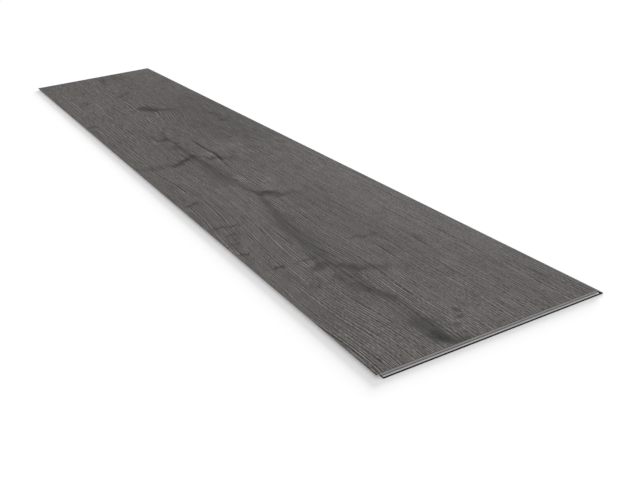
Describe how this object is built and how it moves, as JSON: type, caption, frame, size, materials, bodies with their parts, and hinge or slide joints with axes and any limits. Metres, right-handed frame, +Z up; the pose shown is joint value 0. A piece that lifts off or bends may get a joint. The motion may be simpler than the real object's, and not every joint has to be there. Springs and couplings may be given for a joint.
{
  "type": "stone plastic composite plank",
  "caption": "Thin rigid floor plank with a grey oak face, a locking lip along a long side and a short end, and matching hooks opposite, to click together.",
  "frame": {"origin": "on the underside, below the middle of the laid face, which is the area between the joint planes", "axes": "+X along the length towards the short end with the lip, +Y across the width towards the long side with the lip, +Z up out of the laid face"},
  "size_m": [1.2228, 0.2242, 0.004],
  "materials": {
    "plank": "matte grey oak print under a clear wear layer, embossed along the grain; milled edges bare grey, underside dark grey"
  },
  "bodies": {
    "root": {"plank": "plank"}
  },
  "joints": []
}
